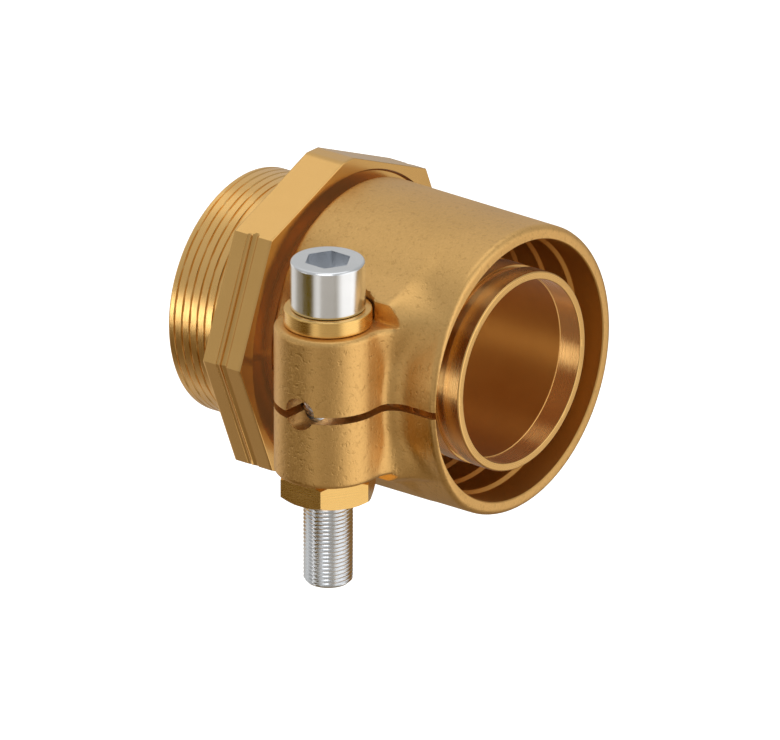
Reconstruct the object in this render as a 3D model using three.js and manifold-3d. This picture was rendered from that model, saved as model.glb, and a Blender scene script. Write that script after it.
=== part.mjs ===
// Brass split-clamp coupling for 63 mm plastic pressure pipe, with a G2 male thread.
// Frame, in millimetres: +X runs along the pipe axis from the thread's end face to the pipe mouth,
// +Z runs up the clamp screw, and the lug that holds the screw is on the -Y side.

import * as THREE from 'three';
import { mergeVertices } from 'three/addons/utils/BufferGeometryUtils.js';
import Module from 'manifold-3d';

const wasm = await Module();
wasm.setup();

// Nipple: thread, octagon, neck and pipe insert in one piece.
const THREAD_R = 29.8;
const THREAD_ROOT_R = 28.3;
const THREAD_END_X = 17.6;
const SHOULDER_X = 20.45;
const OCTAGON_FRONT_X = 32.0;
const OCTAGON_CORNER_R = 41.5;
const OCTAGON_TOP_FLAT_HALF = 1.5;
const FACE_RECESS_R = 37.3;
const FACE_RECESS_DEPTH = 0.9;
const NECK_R = 28.4;
const STOP_FLANGE_R = 31.2;
const STOP_FLANGE_BACK_X = 38.3;
const STOP_FLANGE_FRONT_X = 41.0;
const INSERT_R = 24.7;
const INSERT_GROOVE_R = 23.9;
const INSERT_END_X = 84.7;
const INSERT_LAND = 4.7;
const INSERT_GROOVE_PITCH = 8.0;
const INSERT_GROOVE_WIDTH = 2.4;
const INSERT_GROOVES = 4;
const BORE_R = 22.3;
const MOUTH_R = 22.7;
const MOUTH_DEPTH = 6.0;
const WRENCH_GROOVE_X = 25.6;
const WRENCH_GROOVE_WIDTH = 2.6;
const WRENCH_GROOVE_DEPTH = 0.6;

// Seal ring: lies in a face groove in the octagon's back shoulder.
const SEAL_R = 32.8;
const SEAL_CORD_R = 1.75;
const SEAL_GROOVE_HALF = 1.95;
const SEAL_GROOVE_DEPTH = 2.9;
const SEAL_GAP = 0.1;

// Clamp sleeve: split ring with a back collar that turns on the nipple's neck.
const SLEEVE_BACK_X = 34.5;
const SLEEVE_FRONT_X = 84.1;
const SLEEVE_BACK_R = 36.2;
const SLEEVE_FRONT_R = 36.1;
const SLEEVE_INNER_R = 32.4;
const FLANK_R = 60.0;
const FLANK_Y = -34.2;
const COLLAR_R = 28.9;
const COLLAR_FRONT_X = 37.8;
const LIP_ROUND = 1.6;
const GRIP_RIDGE_R = 31.5;
const GRIP_RIDGE_WIDTH = 2.0;
const GRIP_RIDGE_PITCH = 8.0;
const GRIP_RIDGE_FIRST_X = 51.0;
const GRIP_RIDGES = 4;

// Lug on the sleeve, and the cuts in it.
const SCREW_X = 57.9;
const SCREW_Y = -40.9;
const LUG_R = 12.94;
const LUG_HALF_HEIGHT = 19.0;
const LUG_EDGE = 1.6;
const WEB_FILLET_R = 5.6;
const WEB_FILLET_GROWTH = 0.2;
const WEB_FILLET_STEADY_Z = 8.0;
const LUG_ROOT_Y = -22.0;
const BOSS_WALL_Y = -33.0;
const BOSS_HALF_HEIGHT = 24.3;
const BOSS_ROOT_Y = -24.2;
const BOSS_ROOT_HALF_HEIGHT = 26.5;
const LOWER_BOSS_HALF_HEIGHT = 21.4;
const LOWER_BOSS_ROOT_Y = -25.5;
const LOWER_BOSS_ROOT_HALF_HEIGHT = 25.2;
const SLIT_TOP_Z = -0.3;
const SLIT_BOTTOM_Z = -2.1;
const SCREW_HOLE_R = 6.5;
const WASHER_SEAT_R = 11.2;
const NUT_SEAT_R = 12.6;
const SPREADER_HOLE_R = 4.0;
const SPREADER_HOLE_X = 59.1;
const SPREADER_HOLE_Z = -0.2;

// Fasteners: M12 x 70 socket head screw, thick washer, and a hexagon nut with a round spigot.
const JOINT_GAP = 0.1;
const WASHER_R = 10.63;
const WASHER_HOLE_R = 6.5;
const WASHER_THICKNESS = 4.0;
const SCREW_R = 5.9;
const SCREW_LENGTH = 70.8;
const HEAD_R = 9.0;
const HEAD_HEIGHT = 12.0;
const HEAD_EDGE = 0.6;
const SOCKET_ACROSS_FLATS = 10.0;
const SOCKET_DEPTH = 6.0;
const NUT_ACROSS_FLATS = 21.2;
const NUT_HEIGHT = 6.0;
const NUT_EDGE = 1.2;
const NUT_BORE_R = 6.0;
const SPIGOT_R = 8.0;
const SPIGOT_LENGTH = 9.0;
const SPIGOT_CLEARANCE = 0.2;

const ROUND_SIDES = 64;
const SMALL_ROUND_SIDES = 40;
const CUT_MARGIN = 12;

const brass = { color: 0xc89a55, roughness: 0.3, metalness: 1.0 };
const castBrass = { color: 0xb98f50, roughness: 0.5, metalness: 1.0 };
const steel = { color: 0xc9cacf, roughness: 0.22, metalness: 1.0 };
const rubber = { color: 0x1c1c1e, roughness: 0.85, metalness: 0.0 };

// ---- Solids ----

function signedVolume(position, index) {
  const a = new THREE.Vector3();
  const b = new THREE.Vector3();
  const c = new THREE.Vector3();
  let volume = 0;
  for (let i = 0; i < index.length; i += 3) {
    a.fromBufferAttribute(position, index[i]);
    b.fromBufferAttribute(position, index[i + 1]);
    c.fromBufferAttribute(position, index[i + 2]);
    volume += a.dot(b.cross(c)) / 6;
  }
  return volume;
}

function solid(geometry) {
  geometry.deleteAttribute('normal');
  geometry.deleteAttribute('uv');
  const merged = mergeVertices(geometry, 1e-4);
  const position = merged.getAttribute('position');
  const source = merged.index.array;
  const triVerts = [];
  for (let i = 0; i < source.length; i += 3) {
    const [a, b, c] = source.slice(i, i + 3);
    if (a !== b && b !== c && a !== c) {
      triVerts.push(a, b, c);
    }
  }
  if (signedVolume(position, triVerts) < 0) {
    triVerts.reverse();
  }
  const mesh = new wasm.Mesh({
    numProp: 3,
    vertProperties: new Float32Array(position.array),
    triVerts: new Uint32Array(triVerts),
  });
  return new wasm.Manifold(mesh);
}

function named(name, body, look) {
  const mesh = body.getMesh();
  const geometry = new THREE.BufferGeometry();
  geometry.setAttribute('position', new THREE.BufferAttribute(mesh.vertProperties, 3));
  geometry.setIndex(new THREE.BufferAttribute(mesh.triVerts, 1));
  geometry.computeVertexNormals();
  const result = new THREE.Mesh(geometry, new THREE.MeshStandardMaterial(look));
  result.name = name;
  return result;
}

// A solid of revolution about the pipe axis, from [radius, x] pairs.
function turnedAlongX(profile, sides = ROUND_SIDES) {
  const points = profile.map(([radius, x]) => new THREE.Vector2(radius, x));
  const geometry = new THREE.LatheGeometry([...points, points[0].clone()], sides);
  return solid(geometry.rotateZ(-Math.PI / 2));
}

// A solid of revolution about the screw axis, from [radius, z] pairs.
function turnedOnScrew(profile, sides = SMALL_ROUND_SIDES) {
  const points = profile.map(([radius, z]) => new THREE.Vector2(radius, z));
  const geometry = new THREE.LatheGeometry([...points, points[0].clone()], sides);
  geometry.rotateX(Math.PI / 2);
  return solid(geometry.translate(SCREW_X, SCREW_Y, 0));
}

function box([x0, y0, z0], [x1, y1, z1]) {
  const geometry = new THREE.BoxGeometry(x1 - x0, y1 - y0, z1 - z0);
  geometry.translate((x0 + x1) / 2, (y0 + y1) / 2, (z0 + z1) / 2);
  return solid(geometry);
}

// A flat outline in the YZ plane, swept along X.
function sweptAlongX(outline, x0, x1) {
  const shape = new THREE.Shape(outline.map(([y, z]) => new THREE.Vector2(y, z)));
  const geometry = new THREE.ExtrudeGeometry(shape, { depth: x1 - x0, bevelEnabled: false });
  geometry.rotateX(Math.PI / 2);
  geometry.rotateZ(Math.PI / 2);
  return solid(geometry.translate(x0, 0, 0));
}

// A regular outline with its first corner on the local +X axis.
function regularOutline(corners, cornerR) {
  const step = (2 * Math.PI) / corners;
  return Array.from({ length: corners }, (_, i) => [
    cornerR * Math.cos(i * step),
    cornerR * Math.sin(i * step),
  ]);
}

function hexagonOnScrew(acrossFlats, z0, z1) {
  const cornerR = acrossFlats / Math.sqrt(3);
  const points = regularOutline(6, cornerR).map(([x, y]) => new THREE.Vector2(x, y));
  const shape = new THREE.Shape(points);
  const geometry = new THREE.ExtrudeGeometry(shape, { depth: z1 - z0, bevelEnabled: false });
  return solid(geometry.translate(SCREW_X, SCREW_Y, z0));
}

// ---- Nipple ----

function insertProfile() {
  const points = [];
  const firstEdge = INSERT_END_X - INSERT_LAND;
  for (let i = INSERT_GROOVES - 1; i >= 0; i -= 1) {
    const front = firstEdge - i * INSERT_GROOVE_PITCH;
    points.push([INSERT_R, front - INSERT_GROOVE_WIDTH]);
    points.push([INSERT_GROOVE_R, front - INSERT_GROOVE_WIDTH]);
    points.push([INSERT_GROOVE_R, front]);
    points.push([INSERT_R, front]);
  }
  return points;
}

function nippleBody() {
  const endChamfer = 1.2;
  const edge = 0.5;
  return turnedAlongX([
    [BORE_R, 0],
    [THREAD_R - endChamfer, 0],
    [THREAD_R, endChamfer],
    [THREAD_R, THREAD_END_X],
    [THREAD_ROOT_R, THREAD_END_X + endChamfer],
    [THREAD_ROOT_R, SHOULDER_X + 1],
    [NECK_R, SHOULDER_X + 1],
    [NECK_R, STOP_FLANGE_BACK_X],
    [STOP_FLANGE_R, STOP_FLANGE_BACK_X],
    [STOP_FLANGE_R, STOP_FLANGE_FRONT_X],
    [INSERT_R, STOP_FLANGE_FRONT_X],
    ...insertProfile(),
    [INSERT_R, INSERT_END_X - edge],
    [INSERT_R - edge, INSERT_END_X],
    [MOUTH_R, INSERT_END_X],
    [MOUTH_R, INSERT_END_X - MOUTH_DEPTH],
    [BORE_R, INSERT_END_X - MOUTH_DEPTH],
  ]);
}

// One shallow groove across a flat whose normal is the given number of eighths of a turn from +Y.
function wrenchGroove(eighths) {
  const flatR = OCTAGON_CORNER_R * Math.cos(Math.PI / 8);
  const length = 2 * OCTAGON_CORNER_R * Math.sin(Math.PI / 8);
  const depth = 2 * WRENCH_GROOVE_DEPTH;
  const geometry = new THREE.BoxGeometry(WRENCH_GROOVE_WIDTH, depth, length);
  geometry.translate(WRENCH_GROOVE_X, flatR, 0);
  geometry.rotateX((eighths * Math.PI) / 4);
  return solid(geometry);
}

function octagon() {
  const prism = sweptAlongX(regularOutline(8, OCTAGON_CORNER_R), SHOULDER_X, OCTAGON_FRONT_X);
  const trimZ = OCTAGON_CORNER_R - OCTAGON_TOP_FLAT_HALF * Math.tan(Math.PI / 8);
  const cornerTrim = box(
    [SHOULDER_X - 1, -CUT_MARGIN, trimZ],
    [OCTAGON_FRONT_X + 1, CUT_MARGIN, OCTAGON_CORNER_R + 1],
  );
  const through = turnedAlongX([
    [0, SHOULDER_X - 1],
    [NECK_R - 2, SHOULDER_X - 1],
    [NECK_R - 2, OCTAGON_FRONT_X + 1],
    [0, OCTAGON_FRONT_X + 1],
  ]);
  const recess = turnedAlongX([
    [NECK_R, OCTAGON_FRONT_X - FACE_RECESS_DEPTH],
    [FACE_RECESS_R, OCTAGON_FRONT_X - FACE_RECESS_DEPTH],
    [FACE_RECESS_R, OCTAGON_FRONT_X + 1],
    [NECK_R, OCTAGON_FRONT_X + 1],
  ]);
  const sealGroove = turnedAlongX([
    [SEAL_R - SEAL_GROOVE_HALF, SHOULDER_X - 1],
    [SEAL_R + SEAL_GROOVE_HALF, SHOULDER_X - 1],
    [SEAL_R + SEAL_GROOVE_HALF, SHOULDER_X + SEAL_GROOVE_DEPTH],
    [SEAL_R - SEAL_GROOVE_HALF, SHOULDER_X + SEAL_GROOVE_DEPTH],
  ]);
  let body = prism.subtract(cornerTrim).subtract(through).subtract(recess).subtract(sealGroove);
  for (const side of [0, 4]) {
    body = body.subtract(wrenchGroove(side + 0.5)).subtract(wrenchGroove(side - 0.5));
  }
  return body;
}

function threadedNipple() {
  return nippleBody().add(octagon());
}

function sealRing() {
  const arcs = 12;
  const centreX = SHOULDER_X + SEAL_GROOVE_DEPTH - SEAL_CORD_R - SEAL_GAP;
  const section = Array.from({ length: arcs }, (_, i) => {
    const angle = (2 * Math.PI * i) / arcs;
    return [SEAL_R + SEAL_CORD_R * Math.cos(angle), centreX + SEAL_CORD_R * Math.sin(angle)];
  });
  return turnedAlongX(section, 48);
}

// ---- Clamp sleeve ----

function gripRidgeProfile() {
  const points = [];
  for (let i = GRIP_RIDGES - 1; i >= 0; i -= 1) {
    const middle = GRIP_RIDGE_FIRST_X + i * GRIP_RIDGE_PITCH;
    points.push([SLEEVE_INNER_R, middle + GRIP_RIDGE_WIDTH / 2]);
    points.push([GRIP_RIDGE_R, middle]);
    points.push([SLEEVE_INNER_R, middle - GRIP_RIDGE_WIDTH / 2]);
  }
  return points;
}

function lipProfile() {
  const steps = 4;
  const centreR = SLEEVE_FRONT_R - LIP_ROUND;
  const centreX = SLEEVE_FRONT_X - LIP_ROUND;
  return Array.from({ length: steps + 1 }, (_, i) => {
    const angle = (Math.PI / 2) * (i / steps);
    return [centreR + LIP_ROUND * Math.cos(angle), centreX + LIP_ROUND * Math.sin(angle)];
  });
}

function sleeveShell() {
  const backRound = 1.0;
  return turnedAlongX([
    [COLLAR_R, SLEEVE_BACK_X],
    [SLEEVE_BACK_R - backRound, SLEEVE_BACK_X],
    [SLEEVE_BACK_R, SLEEVE_BACK_X + backRound],
    ...lipProfile(),
    [SLEEVE_INNER_R, SLEEVE_FRONT_X],
    ...gripRidgeProfile(),
    [SLEEVE_INNER_R, COLLAR_FRONT_X],
    [COLLAR_R, COLLAR_FRONT_X],
  ]);
}

// Plan outline of the lug: a half circle round the screw, straight webs and a fillet at each foot.
function lugPlan() {
  const shape = new THREE.Shape();
  const footX = LUG_R + WEB_FILLET_R;
  const filletY = FLANK_Y - WEB_FILLET_R - SCREW_Y;
  const rootY = LUG_ROOT_Y - SCREW_Y;
  shape.moveTo(-footX, rootY);
  shape.lineTo(-footX, filletY + WEB_FILLET_R);
  shape.absarc(-footX, filletY, WEB_FILLET_R, Math.PI / 2, 0, true);
  shape.absarc(0, 0, LUG_R, Math.PI, 2 * Math.PI, false);
  shape.absarc(footX, filletY, WEB_FILLET_R, Math.PI, Math.PI / 2, true);
  shape.lineTo(footX, rootY);
  shape.closePath();
  return shape;
}

// Where the outside of the sleeve lies at one height on the lug's side.
function sleeveSideY(z) {
  const ringY = -Math.sqrt(SLEEVE_FRONT_R ** 2 - z ** 2);
  const flankY = FLANK_Y + FLANK_R - Math.sqrt(FLANK_R ** 2 - z ** 2);
  return Math.max(ringY, flankY);
}

// Moves one point of the lug's feet in or out so that each fillet lands on the sleeve as it curves away.
function landOnSleeve(point) {
  const fromScrew = point[0] - SCREW_X;
  const past = (Math.abs(fromScrew) - LUG_R) / WEB_FILLET_R;
  const rise = (point[1] - FLANK_Y) / WEB_FILLET_R;
  const height = Math.abs(point[2]);
  const grown = WEB_FILLET_R + WEB_FILLET_GROWTH * Math.max(0, height - WEB_FILLET_STEADY_Z);
  if (past > -1e-4 && rise > -1 - 1e-4) {
    point[0] = SCREW_X + Math.sign(fromScrew) * (LUG_R + past * grown);
  }
  if (past > -1e-4 && rise > -1 - 1e-4 && rise < 1e-4) {
    point[1] = sleeveSideY(height) + rise * grown;
  }
}

// The lug is low round the screw and steps out to a sloping boss against the sleeve, less below than above.
function lug() {
  const depth = 2 * BOSS_ROOT_HALF_HEIGHT;
  const options = { depth, steps: 20, bevelEnabled: false, curveSegments: 12 };
  const column = new THREE.ExtrudeGeometry(lugPlan(), options);
  column.translate(SCREW_X, SCREW_Y, -BOSS_ROOT_HALF_HEIGHT);
  const outerY = SCREW_Y - LUG_R - 1;
  const upper = [
    [outerY, LUG_HALF_HEIGHT],
    [BOSS_WALL_Y, LUG_HALF_HEIGHT],
    [BOSS_WALL_Y, BOSS_HALF_HEIGHT],
    [BOSS_ROOT_Y, BOSS_ROOT_HALF_HEIGHT],
    [LUG_ROOT_Y, BOSS_ROOT_HALF_HEIGHT],
  ];
  const lower = [
    [LUG_ROOT_Y, -LOWER_BOSS_ROOT_HALF_HEIGHT],
    [LOWER_BOSS_ROOT_Y, -LOWER_BOSS_ROOT_HALF_HEIGHT],
    [BOSS_WALL_Y, -LOWER_BOSS_HALF_HEIGHT],
    [BOSS_WALL_Y, -LUG_HALF_HEIGHT],
    [outerY, -LUG_HALF_HEIGHT],
  ];
  const side = sweptAlongX([...upper, ...lower], SLEEVE_BACK_X, SLEEVE_FRONT_X);
  return solid(column).warp(landOnSleeve).intersect(side);
}

// A ring-shaped cut that takes the sharp edge off one end of the lug's round nose.
function lugEdgeCut(up) {
  const inner = LUG_R - LUG_EDGE;
  const outer = LUG_R + 1;
  const z = up * LUG_HALF_HEIGHT;
  const cut = turnedOnScrew([
    [inner, z],
    [outer, z - up * (outer - inner)],
    [outer, z + up],
    [inner, z + up],
  ]);
  const nose = box(
    [SCREW_X - outer, SCREW_Y - outer, -BOSS_ROOT_HALF_HEIGHT],
    [SCREW_X + outer, SCREW_Y, BOSS_ROOT_HALF_HEIGHT],
  );
  return cut.intersect(nose);
}

function roundCut(radius, z0, z1) {
  return turnedOnScrew([[0, z0], [radius, z0], [radius, z1], [0, z1]]);
}

function spreaderHole() {
  const length = LUG_R + 2;
  const geometry = new THREE.CylinderGeometry(SPREADER_HOLE_R, SPREADER_HOLE_R, length, 24);
  geometry.translate(SPREADER_HOLE_X, SCREW_Y - length / 2, SPREADER_HOLE_Z);
  return solid(geometry);
}

// The side that carries the slit is flatter than the rest of the ring.
function flankEnvelope() {
  const envelope = turnedAlongX([
    [0, SLEEVE_BACK_X - 1],
    [FLANK_R, SLEEVE_BACK_X - 1],
    [FLANK_R, SLEEVE_FRONT_X + 1],
    [0, SLEEVE_FRONT_X + 1],
  ]);
  return envelope.translate([0, FLANK_Y + FLANK_R, 0]);
}

function clampSleeve() {
  const pipeSpace = turnedAlongX([
    [0, SLEEVE_BACK_X - 1],
    [SLEEVE_INNER_R + 1, SLEEVE_BACK_X - 1],
    [SLEEVE_INNER_R + 1, SLEEVE_FRONT_X + 1],
    [0, SLEEVE_FRONT_X + 1],
  ]);
  const slit = box(
    [SLEEVE_BACK_X - 1, SCREW_Y - LUG_R - 1, SLIT_BOTTOM_Z],
    [SLEEVE_FRONT_X + 1, -COLLAR_R + CUT_MARGIN, SLIT_TOP_Z],
  );
  const top = LUG_HALF_HEIGHT + CUT_MARGIN;
  const spigotTop = -LUG_HALF_HEIGHT + SPIGOT_LENGTH + 0.5;
  return sleeveShell()
    .intersect(flankEnvelope())
    .add(lug().subtract(pipeSpace))
    .subtract(lugEdgeCut(1))
    .subtract(lugEdgeCut(-1))
    .subtract(roundCut(WASHER_SEAT_R, LUG_HALF_HEIGHT, top))
    .subtract(roundCut(NUT_SEAT_R, -top, -LUG_HALF_HEIGHT))
    .subtract(roundCut(SCREW_HOLE_R, -top, top))
    .subtract(roundCut(SPIGOT_R + SPIGOT_CLEARANCE, -top, spigotTop))
    .subtract(spreaderHole())
    .subtract(slit);
}

// ---- Fasteners ----

const WASHER_BOTTOM_Z = LUG_HALF_HEIGHT + JOINT_GAP;
const HEAD_BOTTOM_Z = WASHER_BOTTOM_Z + WASHER_THICKNESS + JOINT_GAP;
const HEAD_TOP_Z = HEAD_BOTTOM_Z + HEAD_HEIGHT;
const SCREW_END_Z = HEAD_BOTTOM_Z - SCREW_LENGTH;
const NUT_TOP_Z = -LUG_HALF_HEIGHT - JOINT_GAP;
const NUT_BOTTOM_Z = NUT_TOP_Z - NUT_HEIGHT;

function thickWasher() {
  const edge = 0.3;
  const top = WASHER_BOTTOM_Z + WASHER_THICKNESS;
  return turnedOnScrew([
    [WASHER_HOLE_R, WASHER_BOTTOM_Z],
    [WASHER_R, WASHER_BOTTOM_Z],
    [WASHER_R, top - edge],
    [WASHER_R - edge, top],
    [WASHER_HOLE_R, top],
  ]);
}

function clampScrew() {
  const point = 1.2;
  const bar = turnedOnScrew([
    [0, SCREW_END_Z],
    [SCREW_R - point, SCREW_END_Z],
    [SCREW_R, SCREW_END_Z + point],
    [SCREW_R, HEAD_BOTTOM_Z],
    [HEAD_R, HEAD_BOTTOM_Z],
    [HEAD_R, HEAD_TOP_Z - HEAD_EDGE],
    [HEAD_R - HEAD_EDGE, HEAD_TOP_Z],
    [0, HEAD_TOP_Z],
  ]);
  const socket = hexagonOnScrew(SOCKET_ACROSS_FLATS, HEAD_TOP_Z - SOCKET_DEPTH, HEAD_TOP_Z + 1);
  return bar.subtract(socket);
}

function clampNut() {
  const cornerR = NUT_ACROSS_FLATS / Math.sqrt(3);
  const hexagon = hexagonOnScrew(NUT_ACROSS_FLATS, NUT_BOTTOM_Z, NUT_TOP_Z);
  const cornerCone = turnedOnScrew([
    [0, NUT_BOTTOM_Z],
    [cornerR - NUT_EDGE, NUT_BOTTOM_Z],
    [cornerR + 0.2, NUT_BOTTOM_Z + NUT_EDGE],
    [cornerR + 0.2, NUT_TOP_Z],
    [0, NUT_TOP_Z],
  ]);
  const spigot = roundCut(SPIGOT_R, NUT_TOP_Z - 1, NUT_TOP_Z + SPIGOT_LENGTH);
  const bore = roundCut(NUT_BORE_R, NUT_BOTTOM_Z - 1, NUT_TOP_Z + SPIGOT_LENGTH + 1);
  return hexagon.intersect(cornerCone).add(spigot).subtract(bore);
}

// ---- Assembly ----

const coupling = new THREE.Group();
coupling.add(
  named('threaded_nipple', threadedNipple(), brass),
  named('shoulder_seal_ring', sealRing(), rubber),
  named('clamp_sleeve', clampSleeve(), castBrass),
  named('clamp_nut', clampNut(), brass),
  named('thick_washer', thickWasher(), brass),
  named('clamp_screw', clampScrew(), steel),
);

export default coupling;
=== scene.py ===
"""The looks of a brass split-clamp pipe coupling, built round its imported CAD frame.

Shapes are worked out in millimetres in the CAD frame (+X along the pipe, +Z up the clamp screw) and
written to Blender in metres.
"""
import math

import bmesh
import bpy
import numpy as np
from mathutils import Matrix, Vector

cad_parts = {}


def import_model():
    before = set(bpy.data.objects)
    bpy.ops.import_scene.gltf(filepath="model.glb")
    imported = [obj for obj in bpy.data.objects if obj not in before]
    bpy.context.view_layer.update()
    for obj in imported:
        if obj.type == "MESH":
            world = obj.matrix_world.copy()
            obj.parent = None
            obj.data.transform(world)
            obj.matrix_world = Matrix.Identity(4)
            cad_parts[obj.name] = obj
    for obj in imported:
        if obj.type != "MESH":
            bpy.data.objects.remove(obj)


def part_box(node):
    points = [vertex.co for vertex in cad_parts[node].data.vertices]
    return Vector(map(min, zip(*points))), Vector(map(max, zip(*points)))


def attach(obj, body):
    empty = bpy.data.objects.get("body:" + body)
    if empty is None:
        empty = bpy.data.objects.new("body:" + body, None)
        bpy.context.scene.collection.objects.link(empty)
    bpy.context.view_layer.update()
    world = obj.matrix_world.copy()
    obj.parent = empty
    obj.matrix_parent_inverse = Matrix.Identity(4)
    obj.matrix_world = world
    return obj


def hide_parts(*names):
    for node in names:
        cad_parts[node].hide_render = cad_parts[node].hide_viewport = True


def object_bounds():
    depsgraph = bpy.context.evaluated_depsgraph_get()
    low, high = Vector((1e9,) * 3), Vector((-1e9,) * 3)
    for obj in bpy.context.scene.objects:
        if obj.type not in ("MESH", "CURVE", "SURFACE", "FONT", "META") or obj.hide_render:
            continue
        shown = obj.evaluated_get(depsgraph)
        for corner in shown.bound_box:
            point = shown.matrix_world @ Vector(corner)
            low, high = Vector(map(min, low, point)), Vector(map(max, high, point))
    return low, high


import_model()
cad_low, cad_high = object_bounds()

MM = 0.001
TURN = 2 * math.pi


def box_mm(node):
    low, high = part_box(node)
    return np.array(low) / MM, np.array(high) / MM


nipple_low, nipple_high = box_mm("threaded_nipple")
sleeve_low, sleeve_high = box_mm("clamp_sleeve")
screw_low, screw_high = box_mm("clamp_screw")
washer_low, washer_high = box_mm("thick_washer")
nut_low, nut_high = box_mm("clamp_nut")
seal_low, seal_high = box_mm("shoulder_seal_ring")

SCREW_X, SCREW_Y = (screw_low[:2] + screw_high[:2]) / 2

# ---------------------------------------------------------------- mesh helpers


def new_mesh_object(name, points, faces):
    """A mesh object from an (n, 3) array in millimetres and quads or triangles as an index array."""
    mesh = bpy.data.meshes.new(name)
    mesh.from_pydata((np.asarray(points, float) * MM).tolist(), [], np.asarray(faces).tolist())
    mesh.validate()
    mesh.update()
    thing = bpy.data.objects.new(name, mesh)
    bpy.context.scene.collection.objects.link(thing)
    return thing


def shade(thing, angle_degrees=30.0):
    """Smooth shading that keeps every edge sharper than the given angle crisp."""
    mesh = thing.data
    mesh.polygons.foreach_set("use_smooth", np.ones(len(mesh.polygons), bool))
    mesh.set_sharp_from_angle(angle=math.radians(angle_degrees))
    return thing


def grid_faces(rows, columns):
    """Quads of a grid that is closed both ways."""
    i, j = np.meshgrid(np.arange(rows), np.arange(columns), indexing="ij")
    down, across = (i + 1) % rows, (j + 1) % columns
    corners = [i * columns + j, i * columns + across, down * columns + across, down * columns + j]
    return np.stack(corners, -1).reshape(-1, 4)


def outward(thing):
    """Turns the faces of a closed mesh outward."""
    mesh = thing.data
    mesh.calc_loop_triangles()
    points = np.empty(len(mesh.vertices) * 3, np.float32)
    mesh.vertices.foreach_get("co", points)
    points = points.reshape(-1, 3).astype(float)
    triangles = np.empty(len(mesh.loop_triangles) * 3, np.int32)
    mesh.loop_triangles.foreach_get("vertices", triangles)
    a, b, c = (points[triangles.reshape(-1, 3)[:, k]] for k in range(3))
    if np.einsum("ij,ij->i", a, np.cross(b, c)).sum() < 0:
        mesh.flip_normals()
    return thing


def swept_ring(name, radius_rows, axial_rows, angles, place):
    """A closed ring: radius_rows is (rows, angles), axial_rows is (rows,), place maps to x, y, z."""
    radius = np.asarray(radius_rows, float)
    axial = np.asarray(axial_rows, float)
    if axial.ndim == 1:
        axial = np.repeat(axial[:, None], len(angles), 1)
    points = place(radius, axial, np.asarray(angles)[None, :]).reshape(-1, 3)
    return outward(new_mesh_object(name, points, grid_faces(*radius.shape)))


def about_pipe(radius, axial, angle):
    return np.stack([axial, radius * np.cos(angle), radius * np.sin(angle)], -1)


def about_screw(radius, axial, angle):
    x = SCREW_X + radius * np.cos(angle)
    y = SCREW_Y + radius * np.sin(angle)
    return np.stack([x, y, axial + 0 * angle], -1)


def rounded(profile, steps=4):
    """A closed (radius, axial, corner radius) profile, each corner turned into an arc."""
    points = []
    count = len(profile)
    for i, (r, x, fillet) in enumerate(profile):
        here = np.array([r, x])
        back = np.array(profile[i - 1][:2]) - here
        ahead = np.array(profile[(i + 1) % count][:2]) - here
        longest = 0.48 * min(np.linalg.norm(back), np.linalg.norm(ahead))
        back = back / np.linalg.norm(back)
        ahead = ahead / np.linalg.norm(ahead)
        half = math.acos(np.clip(back @ ahead, -1, 1)) / 2
        if fillet == 0 or abs(half - math.pi / 2) < 1e-3:
            points.append(here)
            continue
        reach = min(fillet / math.tan(half), longest)
        radius = reach * math.tan(half)
        middle = (back + ahead) / np.linalg.norm(back + ahead)
        centre = here + middle * radius / math.sin(half)
        start, end = here + back * reach - centre, here + ahead * reach - centre
        swing = math.acos(np.clip(start @ end / radius**2, -1, 1))
        for t in np.linspace(0, 1, steps + 1):
            arc = (math.sin((1 - t) * swing) * start + math.sin(t * swing) * end) / math.sin(swing)
            points.append(centre + arc)
    return np.array(points)


def turned(name, profile, place, sides=160, steps=4):
    """A ring of revolution from a closed profile of (radius, axial, corner radius)."""
    points = rounded(profile, steps)
    angles = np.arange(sides) * TURN / sides
    radius = np.repeat(points[:, :1], sides, 1)
    return swept_ring(name, radius, points[:, 1], angles, place)


def prism(name, outline, low, high):
    """A closed prism: outline is (n, 2) in X and Y, swept along Z."""
    count = len(outline)
    bottom = np.column_stack([outline, np.full(count, low)])
    top = np.column_stack([outline, np.full(count, high)])
    sides = [[i, (i + 1) % count, count + (i + 1) % count, count + i] for i in range(count)]
    mesh = bpy.data.meshes.new(name)
    points = (np.vstack([bottom, top]) * MM).tolist()
    caps = [list(range(count))[::-1], list(range(count, 2 * count))]
    mesh.from_pydata(points, [], sides + caps)
    thing = bpy.data.objects.new(name, mesh)
    bpy.context.scene.collection.objects.link(thing)
    return outward(thing)


def hexagon_outline(corner_r):
    """The six corners of a hexagon on the screw axis, the first toward +X."""
    sixths = [k * TURN / 6 for k in range(6)]
    return np.array([[SCREW_X + corner_r * math.cos(a), SCREW_Y + corner_r * math.sin(a)] for a in sixths])


def box(name, low, high):
    (x0, y0, z0), (x1, y1, z1) = low, high
    outline = np.array([[x0, y0], [x1, y0], [x1, y1], [x0, y1]])
    return prism(name, outline, z0, z1)


def combine(thing, cutter, operation):
    """Applies an exact boolean and removes the cutter."""
    modifier = thing.modifiers.new("boolean", "BOOLEAN")
    modifier.operation = operation
    modifier.solver = "EXACT"
    modifier.object = cutter
    graph = bpy.context.evaluated_depsgraph_get()
    result = bpy.data.meshes.new_from_object(thing.evaluated_get(graph))
    thing.modifiers.clear()
    old = thing.data
    thing.data = result
    bpy.data.meshes.remove(old)
    bpy.data.objects.remove(cutter)
    return thing


def finish_piece(thing, body, node, material, angle=30.0, weighted=True):
    shade(thing, angle)
    if weighted:
        thing.modifiers.new("flat faces stay flat", "WEIGHTED_NORMAL").keep_sharp = True
    thing.data.materials.clear()
    thing.data.materials.append(material)
    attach(thing, body)
    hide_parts(node)
    return thing


# ---------------------------------------------------------------- nipple

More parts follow.
